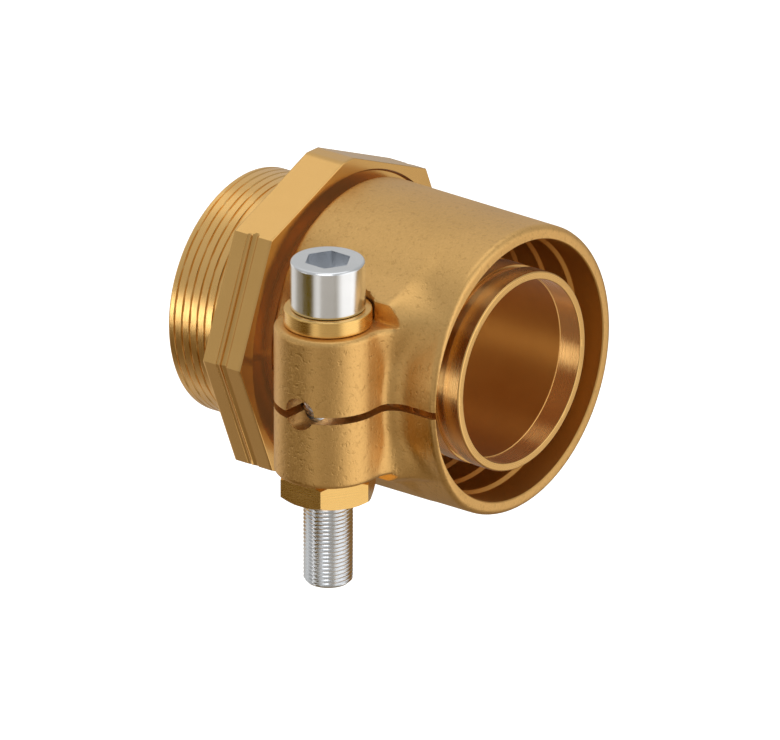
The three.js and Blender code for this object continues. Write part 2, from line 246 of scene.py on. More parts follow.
G2_PITCH = 25.4 / 11
G2_GROOVE_DEPTH = 0.42
G2_GROOVE_HALF = 0.26
G2_CREST_R = 30.4
SHOULDER_X = 20.45
OCTAGON_FRONT_X = 32.0
SEAL_CORD_R, SEAL_SIDE_GAP, SEAL_GROOVE_DEPTH = 1.75, 0.2, 2.9
CORNERS_PAST_CAD, TRIM_PAST_CAD = 0.6, 0.35
OCTAGON_CORNER_R = nipple_high[1] + CORNERS_PAST_CAD
OCTAGON_FLAT_R = OCTAGON_CORNER_R * math.cos(math.pi / 8)
CORNER_TRIM_R = nipple_high[2] + TRIM_PAST_CAD
EDGE = 0.22


def thread_groove(axial, angle, pitch, half_width, depth, first, last):
    """Depth of a right-hand helical groove, run out over half a pitch at both ends."""
    phase = (axial / pitch - angle / TURN) % 1.0
    off_centre = np.abs(phase - 0.5) * pitch
    shape = np.clip(1.15 - off_centre / half_width * 1.15, 0, 1)
    fade = np.clip((axial - first) / (0.5 * pitch), 0, 1) * np.clip((last - axial) / (0.5 * pitch), 0, 1)
    return depth * shape * fade


def round_groove(x, middle, half_width, depth):
    return depth * np.sqrt(np.clip(1 - ((x - middle) / half_width) ** 2, 0, 1))


def flat_distance(x, grooved):
    """Distance of a flat from the axis, with the two round grooves that cross the four side flats."""
    if not grooved:
        return np.full_like(x, OCTAGON_FLAT_R)
    grooves = np.maximum(round_groove(x, 25.05, 0.55, 0.32), round_groove(x, 26.75, 1.0, 0.75))
    return OCTAGON_FLAT_R - grooves


def octagon_radius(x, angles):
    """Radius of the octagon's surface at axial places x (rows) and angles (columns)."""
    radius = np.full((len(x), len(angles)), 1e3)
    for eighth in range(8):
        normal = (eighth + 0.5) * TURN / 8
        cosine = np.cos(angles - normal)
        side_flat = eighth in (0, 3, 4, 7)
        distance = flat_distance(x, side_flat)[:, None]
        reach = np.where(cosine > 0.5, distance / np.maximum(cosine, 0.5), 1e3)
        radius = np.minimum(radius, reach)
    cosine = np.cos(angles - TURN / 4)
    trim = np.where(cosine > 0.5, CORNER_TRIM_R / np.maximum(cosine, 0.5), 1e3)
    return np.minimum(radius, trim)


def nipple_angles():
    """Even steps, closer together at the octagon's corners and at the two edges of the trimmed one."""
    even = np.arange(240) * TURN / 240
    corners = np.arange(8) * TURN / 8
    trim = TURN / 4 + np.array([-1, 1]) * math.acos(CORNER_TRIM_R / OCTAGON_CORNER_R) * 0.585
    near = np.radians([-1.6, -0.9, -0.45, -0.2, 0.2, 0.45, 0.9, 1.6])
    extra = [c + n for c in corners for n in near] + list(trim)
    return np.unique(np.round(np.mod(np.concatenate([even, extra]), TURN), 6))


def nipple():
    """One closed surface: thread, shoulder, octagon, neck, stop flange, insert and bore."""
    angles = nipple_angles()
    thread_r = G2_CREST_R
    bore_r, mouth_r, insert_r = 22.5, 22.7, 24.7
    front = nipple_high[0]
    rows, places, is_thread = [], [], []

    def add(radius, x, thread=False):
        rows.append(np.broadcast_to(radius, angles.shape).copy())
        places.append(x)
        is_thread.append(thread)

    def add_profile(points):
        for r, x in points:
            add(r, x)

    start = rounded([(bore_r, 0, 0.5), (thread_r, 0, 0), (thread_r, 9, 0), (bore_r, 9, 0)])
    add_profile([p for p in start if p[0] < bore_r + 1 and p[1] < 1])
    add_profile([(29.6, 0), (29.75, 0.05)])
    for x in np.arange(0.35, 18.7, 0.13):
        chamfer = max(0.0, 0.65 - x)
        add(thread_r - chamfer, x, thread=True)
    add_profile([(29.2, 18.9), (28.5, 19.3), (28.3, 19.6), (28.3, 20.3), (28.4, SHOULDER_X)])
    groove_in, groove_out = -seal_low[1] - 2 * SEAL_CORD_R - SEAL_SIDE_GAP, -seal_low[1] + SEAL_SIDE_GAP
    groove_floor = SHOULDER_X + SEAL_GROOVE_DEPTH
    add_profile([(groove_in - 0.1, SHOULDER_X), (groove_in, SHOULDER_X + 0.1)])
    add_profile([(groove_in, groove_floor - 0.3), (groove_in + 0.3, groove_floor)])
    add_profile([(groove_out - 0.3, groove_floor), (groove_out, groove_floor - 0.3)])
    add_profile([(groove_out, SHOULDER_X + 0.1), (groove_out + 0.1, SHOULDER_X)])
    for t in (0, 0.5, 1):
        inset = EDGE * (1 - math.sin(t * math.pi / 2))
        x = SHOULDER_X + EDGE * (1 - math.cos(t * math.pi / 2))
        add(octagon_radius(np.array([x]), angles)[0] - inset, x)
    for x in np.concatenate([np.arange(21.0, 24.4, 0.6), np.arange(24.4, 27.9, 0.07),
                             np.arange(28.2, 31.6, 0.6)]):
        add(octagon_radius(np.array([x]), angles)[0], x)
    for t in (1, 0.5, 0):
        inset = EDGE * (1 - math.sin(t * math.pi / 2))
        x = OCTAGON_FRONT_X - EDGE * (1 - math.cos(t * math.pi / 2))
        add(octagon_radius(np.array([x]), angles)[0] - inset, x)
    recess = OCTAGON_FRONT_X - 0.9
    neck_r, flange_r = 28.4, 31.2
    add_profile(rounded([
        (37.45, OCTAGON_FRONT_X, 0), (37.3, OCTAGON_FRONT_X, 0.2), (37.1, recess, 0.5), (neck_r, recess, 0.6),
        (neck_r, 38.3, 0.3), (flange_r, 38.3, 0.4), (flange_r, 41.0, 0.6), (insert_r, 41.0, 0.4),
        (insert_r, 44, 0), (bore_r, 44, 0)])[1:-2])
    land = front - 4.7
    for i in range(3, -1, -1):
        edge = land - i * 8.0
        add_profile([(insert_r, edge - 2.6), (insert_r - 0.12, edge - 2.45), (insert_r - 0.75, edge - 2.3)])
        add_profile([(insert_r - 0.8, edge - 1.2), (insert_r - 0.75, edge - 0.12), (insert_r - 0.12, edge)])
        add_profile([(insert_r, edge + 0.12)])
    step_x = front - 6.0
    add_profile(rounded([
        (bore_r, land + 1, 0), (insert_r, land + 1, 0), (insert_r, front, 0.45), (mouth_r, front, 0.25),
        (mouth_r, step_x, 0), (bore_r, step_x - 0.1, 0), (bore_r, land - 4, 0)])[1:-1])
    for x in np.arange(70, 2, -6.0):
        add(bore_r, x)
    rows_array, places_array = np.array(rows), np.array(places)
    flags = np.array(is_thread)
    cut = thread_groove(places_array[flags][:, None], angles[None, :], G2_PITCH, G2_GROOVE_HALF,
                        G2_GROOVE_DEPTH, 0.6, 18.6)
    rows_array[flags] -= cut
    return swept_ring("brass_nipple", rows_array, places_array, angles, about_pipe)


# ---------------------------------------------------------------- clamp sleeve

LUG_R = 12.94
LUG_HALF = 19.0
BOSS_WALL_Y = -33.0
FLANK_R, FLANK_Y = 60.0, -34.2
SLEEVE_BACK_R, SLEEVE_TAPER = 36.1, 0.3
LIP_ROUND = 1.6
SLEEVE_INNER_R = 32.4
COLLAR_R, COLLAR_FRONT_X = 28.9, 37.8
RIDGE_HEIGHT = 0.9
RIDGE_MIDDLES_X = (51, 59, 67, 75)
SLIT_TOP_Z, SLIT_BOTTOM_Z = -0.3, -2.1
SPREADER_X, SPREADER_Z, SPREADER_R = 59.1, -0.2, 4.0
UPPER_BOSS_HALF, UPPER_BOSS_SLOPE = 24.0, 0.25
LOWER_BOSS_HALF, LOWER_BOSS_SLOPE = 21.4, 0.512
WASHER_SEAT_R, NUT_SEAT_R = 11.15, 12.1
WEB_FILLET_R = 5.6


def round_max(a, b, radius):
    """Intersection of two distances with its outside edge rounded to the radius."""
    corner = np.hypot(np.maximum(a + radius, 0), np.maximum(b + radius, 0))
    return np.minimum(-radius, np.maximum(a, b)) + corner


def round_min(a, b, radius):
    """Union of two distances with a concave fillet of the radius."""
    corner = np.hypot(np.maximum(radius - a, 0), np.maximum(radius - b, 0))
    return np.maximum(radius, np.minimum(a, b)) - corner


def ramp(value, low, high):
    t = np.clip((value - low) / (high - low), 0, 1)
    return t * t * (3 - 2 * t)


def sleeve_distance(p):
    """Signed distance, in millimetres, to the outside of the casting: ring, lug, webs and pockets."""
    x, y, z = p[..., 0], p[..., 1], p[..., 2]
    height = np.abs(z)
    upper = z > 0
    back_x, front_x = sleeve_low[0], sleeve_high[0]
    outer = SLEEVE_BACK_R - SLEEVE_TAPER * (x - back_x) / (front_x - back_x)
    flank = np.hypot(y - (FLANK_Y + FLANK_R), z) - FLANK_R
    ring = round_max(np.hypot(y, z) - outer, flank, 6.0)

    from_screw = np.hypot(x - SCREW_X, y - SCREW_Y)
    plan = np.where(y > SCREW_Y, np.abs(x - SCREW_X), from_screw) - LUG_R
    slope = np.where(upper, UPPER_BOSS_SLOPE, LOWER_BOSS_SLOPE)
    boss_half = np.where(upper, UPPER_BOSS_HALF, LOWER_BOSS_HALF)
    boss_height = boss_half + slope * np.maximum(y - BOSS_WALL_Y, 0)
    boss_top = (height - boss_height) / np.hypot(1, slope)
    column = np.maximum(round_max(plan, boss_top, 1.5), y + 14.0)
    web_fillet = WEB_FILLET_R + np.where(upper, 9.0, 7.2) * ramp(height, 8.0, 21.0)
    end_fillet = np.where(upper, 5.0, 2.5)
    past = np.where(upper, ramp(height, 20.5, 28.0), ramp(height, 19.5, 23.5))
    body = round_min(ring, column, web_fillet + (end_fillet - web_fillet) * past)
    body = round_max(body, x - front_x, LIP_ROUND)
    body = round_max(body, back_x - x, 0.8)

    wall = np.minimum(y - BOSS_WALL_Y, from_screw - np.where(upper, WASHER_SEAT_R, NUT_SEAT_R))
    pocket = round_max(wall, LUG_HALF - height, 0.5)
    return round_max(body, -pocket, np.where(y > BOSS_WALL_Y - 1.0, 0.2, 1.2))


def surface_net(distance, low, high, cell):
    """Naive surface net of a signed distance, then every vertex is moved onto the surface."""
    axes = [np.arange(a, b + cell, cell) for a, b in zip(low, high)]
    grid = np.stack(np.meshgrid(*axes, indexing="ij"), -1)
    value = distance(grid)
    shape = np.array(value.shape) - 1
    total = np.zeros((*shape, 3))
    count = np.zeros(shape)
    for axis in range(3):
        others = [a for a in range(3) if a != axis]
        here = [slice(None)] * 3
        ahead = [slice(None)] * 3
        here[axis], ahead[axis] = slice(0, -1), slice(1, None)
        a, b = value[tuple(here)], value[tuple(ahead)]
        crossed = (a < 0) != (b < 0)
        t = np.where(crossed, a / np.where(crossed, a - b, 1), 0)
        start, end = grid[tuple(here)], grid[tuple(ahead)]
        point = start + (end - start) * t[..., None]
        for i in (0, 1):
            for j in (0, 1):
                part = [slice(None)] * 3
                part[others[0]] = slice(i, shape[others[0]] + i)
                part[others[1]] = slice(j, shape[others[1]] + j)
                part = tuple(part)
                count += crossed[part]
                total += point[part] * crossed[part][..., None]
    used = count > 0
    index = np.full(tuple(shape), -1)
    index[used] = np.arange(used.sum())
    points = total[used] / count[used][:, None]
    faces = []
    for axis in range(3):
        b_axis, c_axis = (axis + 1) % 3, (axis + 2) % 3
        here = [slice(None)] * 3
        ahead = [slice(None)] * 3
        here[axis], ahead[axis] = slice(0, -1), slice(1, None)
        inside_first = value[tuple(here)] < 0
        crossed = inside_first != (value[tuple(ahead)] < 0)
        where = np.argwhere(crossed)
        step_b, step_c = np.eye(3, dtype=int)[b_axis], np.eye(3, dtype=int)[c_axis]
        ring = [where - step_b - step_c, where - step_c, where, where - step_b]
        quad = np.stack([index[tuple(r.T)] for r in ring], -1)
        flip = ~inside_first[tuple(where.T)]
        quad[flip] = quad[flip][:, ::-1]
        faces.append(quad)
    reach = 0.02
    for _ in range(4):
        value = distance(points)
        slopes = [(distance(points + step) - distance(points - step)) / (2 * reach)
                  for step in np.eye(3) * reach]
        gradient = np.stack(slopes, -1)
        length2 = np.maximum((gradient**2).sum(-1), 0.25)
        move = gradient * (value / length2)[:, None]
        size = np.linalg.norm(move, axis=1)[:, None]
        points = points - move * np.minimum(1, 0.5 * cell / np.maximum(size, 1e-9))
    return points, np.concatenate(faces)


def sleeve_cutters():
    """The inside of the ring with its grip ridges, the slit and the round holes."""
    back_x, front_x = sleeve_low[0], sleeve_high[0]
    ridge_top = SLEEVE_INNER_R - RIDGE_HEIGHT
    inside = [(COLLAR_R, back_x - 2, 0), (COLLAR_R, COLLAR_FRONT_X, 0), (SLEEVE_INNER_R, COLLAR_FRONT_X, 0.5)]
    for middle in RIDGE_MIDDLES_X:
        inside += [(SLEEVE_INNER_R, middle - 1.3, 0.3), (ridge_top, middle - 0.5, 0.25),
                   (ridge_top, middle + 0.5, 0.25), (SLEEVE_INNER_R, middle + 1.3, 0.3)]
    inside += [(SLEEVE_INNER_R, front_x - 0.25, 0), (SLEEVE_INNER_R + 2.5, front_x + 2.2, 0)]
    closing_point = [(1, 60, 0)]
    yield solid_of_revolution("bore_cut", rounded(inside + closing_point, 3)[:-1], about_pipe, 192)
    yield box("slit_cut", (back_x - 2, SCREW_Y - 16, SLIT_BOTTOM_Z), (front_x + 3, -17, SLIT_TOP_Z))
    yield cylinder("screw_hole_cut", 6.5, -40, 40)
    yield cylinder("spigot_cut", 8.2, -40, -LUG_HALF + 9.5)
    angles = np.arange(64) * TURN / 64
    ring = SPREADER_R * np.column_stack([np.cos(angles), np.sin(angles)]) + (SPREADER_X, SPREADER_Z)
    hole = prism("spreader_cut", ring, 0, 16)
    hole.data.transform(Matrix.Rotation(math.pi / 2, 4, "X"))
    hole.data.transform(Matrix.Translation((0, SCREW_Y * MM, 0)))
    yield outward(hole)


def solid_of_revolution(name, profile, place, sides):
    """A closed solid from an open (radius, axial) profile, capped flat at both ends."""
    profile = np.asarray(profile)
    angles = np.arange(sides) * TURN / sides
    rows = np.repeat(profile[:, :1], sides, 1)
    axial = np.repeat(profile[:, 1:], sides, 1)
    points = place(rows, axial, angles[None, :]).reshape(-1, 3)
    faces = grid_faces(len(profile), sides)[: (len(profile) - 1) * sides].tolist()
    last = (len(profile) - 1) * sides
    faces.append(list(range(sides)))
    faces.append(list(range(last, last + sides)))
    mesh = bpy.data.meshes.new(name)
    mesh.from_pydata((points * MM).tolist(), [], faces)
    thing = bpy.data.objects.new(name, mesh)
    bpy.context.scene.collection.objects.link(thing)
    work = bmesh.new()
    work.from_mesh(mesh)
    bmesh.ops.recalc_face_normals(work, faces=work.faces)
    work.to_mesh(mesh)
    work.free()
    return outward(thing)


def cylinder(name, radius, low, high):
    return solid_of_revolution(name, [(radius, low), (radius, high)], about_screw, 96)


def sleeve():
    cell = 0.5
    margin = 1.5
    low = sleeve_low - margin
    high = sleeve_high + margin
    points, faces = surface_net(sleeve_distance, low, high, cell)
    thing = outward(new_mesh_object("cast_clamp_sleeve", points, faces))
    for cutter in sleeve_cutters():
        combine(thing, cutter, "DIFFERENCE")
    return thing


# ---------------------------------------------------------------- fasteners

M12_PITCH = 1.0
M12_CREST_R = 5.97
M12_GROOVE_HALF, M12_GROOVE_DEPTH = 0.44, 0.56
HEAD_HEIGHT = 12.0
PLAIN_SHANK = 24.0
SOCKET_ACROSS_FLATS, SOCKET_DEPTH = 10.0, 6.0
JOINT_GAP = 0.1


def screw():
    head_bottom = screw_high[2] - HEAD_HEIGHT
    head_top = screw_high[2]
    end = screw_low[2]
    sides = 96
    angles = np.arange(sides) * TURN / sides
    thread_top = head_bottom - PLAIN_SHANK
    places = np.concatenate([[end], np.arange(end + 0.05, thread_top, 0.125)])
    radius = np.full((len(places), sides), M12_CREST_R)
    chamfer = np.clip(0.9 - (places - end), 0, 1)[:, None]
    groove = thread_groove(places[:, None], angles[None, :], M12_PITCH, M12_GROOVE_HALF, M12_GROOVE_DEPTH,
                           end - 1, thread_top)
    radius = np.minimum(radius - groove, M12_CREST_R - chamfer)
    upper = rounded([
        (0.01, end + 30, 0), (5.9, end + 30, 0), (5.9, head_bottom, 0.5), (8.9, head_bottom, 0.25),
        (9.0, head_bottom + 0.5, 0.4), (9.0, head_top, 0.75), (7.2, head_top, 0)], 5)[2:]
    lower_points = about_screw(radius, np.repeat(places[:, None], sides, 1), angles[None, :]).reshape(-1, 3)
    upper_r = np.repeat(upper[:, :1], sides, 1)
    upper_z = np.repeat(upper[:, 1:], sides, 1)
    upper_points = about_screw(upper_r, upper_z, angles[None, :]).reshape(-1, 3)
    points = np.vstack([lower_points, upper_points])
    rows = len(places) + len(upper)
    faces = grid_faces(rows, sides)[: (rows - 1) * sides].tolist()
    faces.append(list(range(sides))[::-1])
    faces.append(list(range((rows - 1) * sides, rows * sides)))
    mesh = bpy.data.meshes.new("socket_head_screw")
    mesh.from_pydata((points * MM).tolist(), [], faces)
    thing = bpy.data.objects.new("socket_head_screw", mesh)
    bpy.context.scene.collection.objects.link(thing)
    outward(thing)
    hexagon = hexagon_outline(SOCKET_ACROSS_FLATS / math.sqrt(3))
    combine(thing, prism("socket_cut", hexagon, head_top - SOCKET_DEPTH, head_top + 1), "DIFFERENCE")
    return thing


def washer():
    low, high = washer_low[2], washer_high[2]
    radius = (washer_high[0] - washer_low[0]) / 2
    return turned("turned_washer", [(6.5, low, 0.2), (radius, low, 0.3), (radius, high, 0.35),
                                    (6.5, high, 0.2)], about_screw, 144)


def nut():
    low, high = nut_low[2], -LUG_HALF - JOINT_GAP
    corner = (nut_high[0] - nut_low[0]) / 2
    thing = prism("hexagon_nut", hexagon_outline(corner), low, high)
    cone = solid_of_revolution("nut_cone", rounded([
        (1, low, 0), (corner - 1.5, low, 0.15), (corner + 0.3, low + 1.15, 0), (corner + 0.3, high - 0.9, 0),
        (corner - 1.0, high, 0), (1, high, 0)])[1:-1], about_screw, 144)
    combine(thing, cone, "INTERSECT")
    spigot = cylinder("nut_spigot", 8.0, high - 1, nut_high[2])
    combine(thing, spigot, "UNION")
    combine(thing, cylinder("nut_bore", 6.12, low - 1, nut_high[2] + 1), "DIFFERENCE")
    return thing


def seal():
    cord = (seal_high[0] - seal_low[0]) / 2
    centre_r = seal_high[1] - cord
    centre_x = (seal_low[0] + seal_high[0]) / 2
    around = np.arange(20) * TURN / 20
    radius = np.repeat((centre_r + cord * np.cos(around))[:, None], 128, 1)
    return swept_ring("rubber_seal_ring", radius, centre_x + cord * np.sin(around),
                      np.arange(128) * TURN / 128, about_pipe)


# ---------------------------------------------------------------- materials


class Nodes:
    """Short calls for building one material's nodes."""

    def __init__(self, name):
        self.material = bpy.data.materials.new(name)
        self.material.use_nodes = True
        self.tree = self.material.node_tree
        self.shader = self.tree.nodes["Principled BSDF"]

    def node(self, kind, inputs=None, **settings):
        made = self.tree.nodes.new(kind)
        for key, value in settings.items():
            setattr(made, key, value)
        for key, value in (inputs or {}).items():
            if isinstance(value, bpy.types.NodeSocket):
                self.tree.links.new(value, made.inputs[key])
            else:
                made.inputs[key].default_value = value
        return made

    def coordinates(self):
        return self.node("ShaderNodeTexCoord").outputs["Object"]

    def noise(self, vector, scale, detail=3.0, roughness=0.55):
        made = self.node("ShaderNodeTexNoise",
                         {"Vector": vector, "Scale": scale, "Detail": detail, "Roughness": roughness})
        return made.outputs["Fac"]

    def math(self, operation, a, b=0.0):
        return self.node("ShaderNodeMath", {0: a, 1: b}, operation=operation).outputs["Value"]

    def span(self, value, low, high, to_low, to_high):
        inputs = {"Value": value, "From Min": low, "From Max": high, "To Min": to_low, "To Max": to_high}
        return self.node("ShaderNodeMapRange", inputs).outputs["Result"]

    def mix(self, factor, a, b):
        made = self.node("ShaderNodeMix", data_type="RGBA")
        for key, value in (("Factor", factor), ("A", a), ("B", b)):
            socket = [s for s in made.inputs if s.name == key and (key == "Factor" or s.type == "RGBA")][0]
            if isinstance(value, bpy.types.NodeSocket):
                self.tree.links.new(value, socket)
            else:
                socket.default_value = value
        return [s for s in made.outputs if s.type == "RGBA"][0]

    def bump(self, height, strength, distance):
        inputs = {"Height": height, "Strength": strength, "Distance": distance}
        return self.node("ShaderNodeBump", inputs).outputs["Normal"]

    def connect(self, **inputs):
        names = {"color": "Base Color", "roughness": "Roughness", "normal": "Normal", "metallic": "Metallic"}
        for key, value in inputs.items():
            socket = self.shader.inputs[names[key]]
            if isinstance(value, bpy.types.NodeSocket):
                self.tree.links.new(value, socket)
            else:
                socket.default_value = value
        return self.material


def radius_about(nodes, vector, centre, first, second):
    """Distance from an axis through centre, measured in the two named directions, in metres."""
    parts = nodes.node("ShaderNodeSeparateXYZ", {"Vector": vector})
    a = nodes.math("SUBTRACT", parts.outputs[first], centre[0] * MM)
    b = nodes.math("SUBTRACT", parts.outputs[second], centre[1] * MM)
    return nodes.math("SQRT", nodes.math("ADD", nodes.math("MULTIPLY", a, a), nodes.math("MULTIPLY", b, b)))


def turned_brass(name, centre, first, second, axis, light, dark, roughness=0.26):
    """Brass with fine tool marks in planes across the given axis."""
    n = Nodes(name)
    here = n.coordinates()
    radius = radius_about(n, here, centre, first, second)
    along = n.node("ShaderNodeSeparateXYZ", {"Vector": here}).outputs[axis]
    narrowed = n.math("MULTIPLY", radius, 0.05)
    rings = n.node("ShaderNodeCombineXYZ", {"X": along, "Y": narrowed}).outputs["Vector"]
    marks = n.noise(rings, 5200.0, 2.0)
    cloud = n.noise(here, 55.0, 3.0)
    fine = n.noise(here, 900.0, 2.0)
    blend = n.math("ADD", n.math("MULTIPLY", cloud, 0.75), n.math("MULTIPLY", fine, 0.25))
    color = n.mix(n.span(blend, 0.3, 0.7, 0.0, 1.0), dark, light)
    rough = n.span(n.math("ADD", n.math("MULTIPLY", marks, 0.6), n.math("MULTIPLY", cloud, 0.4)),
                   0.3, 0.7, roughness - 0.05, roughness + 0.06)
    normal = n.bump(marks, 0.10, 0.00003)
    return n.connect(color=color, roughness=rough, normal=normal, metallic=1.0)


def nipple_brass():
    """Forged and turned brass: tool marks where it is turned, plain on the flats, browner in the bore. The
    flats are darkened with painted shade; the bore's darker colour is partly its own tone and partly painted
    shade.
    """
    n = Nodes("nipple_brass")
    here = n.coordinates()
    radius = radius_about(n, here, (0, 0), "Y", "Z")
    along = n.node("ShaderNodeSeparateXYZ", {"Vector": here}).outputs["X"]
    rings = n.node("ShaderNodeCombineXYZ", {"X": along, "Y": radius}).outputs["Vector"]
    turned_part = n.span(radius, 0.0310, 0.0374, 1.0, 0.1)
    marks = n.math("MULTIPLY", n.noise(rings, 4200.0, 2.0), turned_part)
    cloud = n.noise(here, 48.0, 3.0)
    fine = n.noise(here, 1500.0, 2.0)
    blend = n.math("ADD", n.math("MULTIPLY", cloud, 0.9), n.math("MULTIPLY", fine, 0.1))
    outside = n.mix(n.span(blend, 0.3, 0.7, 0.0, 1.0), (0.81, 0.49, 0.17, 1), (0.88, 0.545, 0.20, 1))
    # Painted shade in part: the bore is darker than the outside. Part of this is the rougher bore's own tone,
    # and part is painted shade that dims the lamps shining through the walls into the bore.
    inside = n.mix(n.span(cloud, 0.3, 0.7, 0.0, 1.0), (0.58, 0.27, 0.055, 1), (0.66, 0.32, 0.07, 1))
    near_axis = n.span(radius, 0.0228, 0.0229, 1.0, 0.0)
    in_bore = n.math("MULTIPLY", near_axis, n.span(along, 0.0784, 0.0787, 1.0, 0.0))
    # Painted shade: the octagon, at the largest radii, is darkened toward a brown to offset the fill lamps
    # that light it.
    flat_painted_shade = n.math("MULTIPLY", n.span(radius, 0.0310, 0.0374, 0.0, 1.0), 0.5)
    outside = n.mix(flat_painted_shade, outside, (0.66, 0.39, 0.125, 1))
    color = n.mix(in_bore, outside, inside)
    rough = n.span(n.math("ADD", n.math("MULTIPLY", marks, 0.4), n.math("MULTIPLY", cloud, 0.6)),
                   0.3, 0.7, 0.22, 0.32)
    rough = n.math("ADD", rough, n.math("MULTIPLY", in_bore, 0.18))
    normal = n.bump(marks, 0.10, 0.00003)
    return n.connect(color=color, roughness=rough, normal=normal, metallic=1.0)


def cast_brass():
    """Blasted casting: grain and small pits outside, smoother and darker inside the ring."""
    n = Nodes("cast_brass")
    here = n.coordinates()
    grain = n.noise(here, 1700.0, 4.0, 0.7)
    speck = n.noise(here, 420.0, 3.0, 0.6)
    cloud = n.noise(here, 38.0, 3.0)
    radius = radius_about(n, here, (0, 0), "Y", "Z")
    inside = n.span(radius, 0.0324, 0.0327, 1.0, 0.0)
    tone = n.math("ADD", n.math("MULTIPLY", grain, 0.6), n.math("MULTIPLY", cloud, 0.4))
    color = n.mix(n.span(tone, 0.34, 0.66, 0.0, 1.0), (0.74, 0.44, 0.15, 1), (0.90, 0.56, 0.21, 1))
    pits = n.math("MULTIPLY", n.span(n.noise(here, 760.0, 2.0, 0.7), 0.56, 0.68, 0.0, 1.0),
                  n.math("SUBTRACT", 1.0, inside))
    color = n.mix(n.math("MULTIPLY", pits, 0.30), color, (0.52, 0.29, 0.09, 1))
    color = n.mix(n.math("MULTIPLY", inside, 0.7), color, (0.76, 0.43, 0.12, 1))
    rough = n.span(n.math("ADD", n.math("MULTIPLY", grain, 0.5), n.math("MULTIPLY", cloud, 0.5)),
                   0.3, 0.7, 0.34, 0.48)
    outside = n.math("SUBTRACT", 1.0, n.math("MULTIPLY", inside, 0.8))
    height = n.math("ADD", n.math("MULTIPLY", grain, 0.6), n.math("MULTIPLY", speck, 0.5))
    height = n.math("MULTIPLY", n.math("SUBTRACT", height, n.math("MULTIPLY", pits, 0.5)), outside)
    normal = n.bump(height, 0.55, 0.00014)
    return n.connect(color=color, roughness=rough, normal=normal, metallic=1.0)


def screw_steel():
    """Bright steel with faint turning marks."""
    n = Nodes("screw_steel")
    here = n.coordinates()
    radius = radius_about(n, here, (SCREW_X, SCREW_Y), "X", "Y")
    along = n.node("ShaderNodeSeparateXYZ", {"Vector": here}).outputs["Z"]
    rings = n.node("ShaderNodeCombineXYZ", {"X": along, "Y": radius}).outputs["Vector"]
    marks = n.noise(rings, 5200.0, 2.0)
    cloud = n.noise(here, 90.0, 3.0)
    color = n.mix(n.span(cloud, 0.3, 0.7, 0.0, 1.0), (0.78, 0.80, 0.83, 1), (0.86, 0.88, 0.91, 1))
    rough = n.span(n.math("ADD", n.math("MULTIPLY", marks, 0.6), n.math("MULTIPLY", cloud, 0.4)),
                   0.3, 0.7, 0.17, 0.27)
    normal = n.bump(marks, 0.08, 0.00003)
    return n.connect(color=color, roughness=rough, normal=normal, metallic=1.0)


def seal_rubber():
    n = Nodes("seal_rubber")
    here = n.coordinates()
    cloud = n.noise(here, 260.0, 4.0)
    color = n.mix(n.span(cloud, 0.3, 0.7, 0.0, 1.0), (0.012, 0.012, 0.013, 1), (0.024, 0.024, 0.026, 1))
    rough = n.span(cloud, 0.3, 0.7, 0.45, 0.62)
    return n.connect(color=color, roughness=rough, normal=n.bump(cloud, 0.1, 0.00005), metallic=0.0)


# ---------------------------------------------------------------- stage

CAMERA_AZIMUTH = math.radians(38.36)
CAMERA_ELEVATION = math.radians(22.48)
CAMERA_DISTANCE = 4.833
CAMERA_LENS_MM = 923.1


def camera():
    """A long lens, so that the view is close to parallel."""
    a, e = CAMERA_AZIMUTH, CAMERA_ELEVATION
    back = Vector((math.sin(a) * math.cos(e), -math.cos(a) * math.cos(e), math.sin(e)))
    right = Vector((math.cos(a), math.sin(a), 0))
    up = back.cross(right)
    target = (Vector(cad_low) + Vector(cad_high)) / 2
    place = right * (0.0348 - target.dot(right)) + up * (-0.01974 - target.dot(up))
    target = target + place
    target = target - back * target.dot(back)
    data = bpy.data.cameras.new("camera")
    data.sensor_width = 36
    data.lens = CAMERA_LENS_MM
    data.clip_start, data.clip_end = 0.1, 50
    thing = bpy.data.objects.new("camera", data)
    bpy.context.scene.collection.objects.link(thing)
    thing.location = target + back * CAMERA_DISTANCE
    thing.rotation_mode = "QUATERNION"
    thing.rotation_quaternion = Matrix((right, up, back)).transposed().to_quaternion()
    bpy.context.scene.camera = thing


def area_light(name, place, target, size, power):
    data = bpy.data.lights.new(name, "AREA")
    data.shape = "RECTANGLE"
    data.size, data.size_y = size
    data.energy = power
    thing = bpy.data.objects.new(name, data)
    bpy.context.scene.collection.objects.link(thing)
    thing.location = place
    direction = Vector(target) - Vector(place)
    thing.rotation_euler = direction.to_track_quat("-Z", "Y").to_euler()
    thing.visible_camera = False
    return thing


def floor():
    level = cad_low[2] - 0.075
    mesh = bpy.data.meshes.new("floor")
    size = 3.0
    corners = [(-size, -size, level), (size, -size, level), (size, size, level), (-size, size, level)]
    mesh.from_pydata(corners, [], [(0, 1, 2, 3)])
    thing = bpy.data.objects.new("floor", mesh)
    bpy.context.scene.collection.objects.link(thing)
    n = Nodes("floor_white")
    here = n.coordinates()
    cloud = n.noise(here, 3.0, 2.0)
    color = n.mix(cloud, (0.90, 0.90, 0.90, 1), (0.93, 0.93, 0.93, 1))
    n.connect(color=color, roughness=0.9)
    n.shader.inputs["Emission Color"].default_value = (1, 1, 1, 1)
    n.shader.inputs["Emission Strength"].default_value = 0.75
    mesh.materials.append(n.material)
    thing.visible_glossy = False
    return thing


# Soft boxes of the studio: azimuth from +X toward +Y, elevation, half width and height (degrees), level.
SOFT_BOXES = [
    (12, -6, 30, 44, 0.85),
    (155, 22, 40, 50, 0.12),
    (168, 54, 16, 14, 0.10),
    (-118, -30, 32, 22, -0.13),
    (-125, -7, 11, 7, 1.40),
    (-128, -32, 34, 26, -0.12),
    (178, -20, 15, 32, 0.40),
    (-86, -20, 10, 24, 0.45),
    (52, -24, 22, 18, 0.24),
]
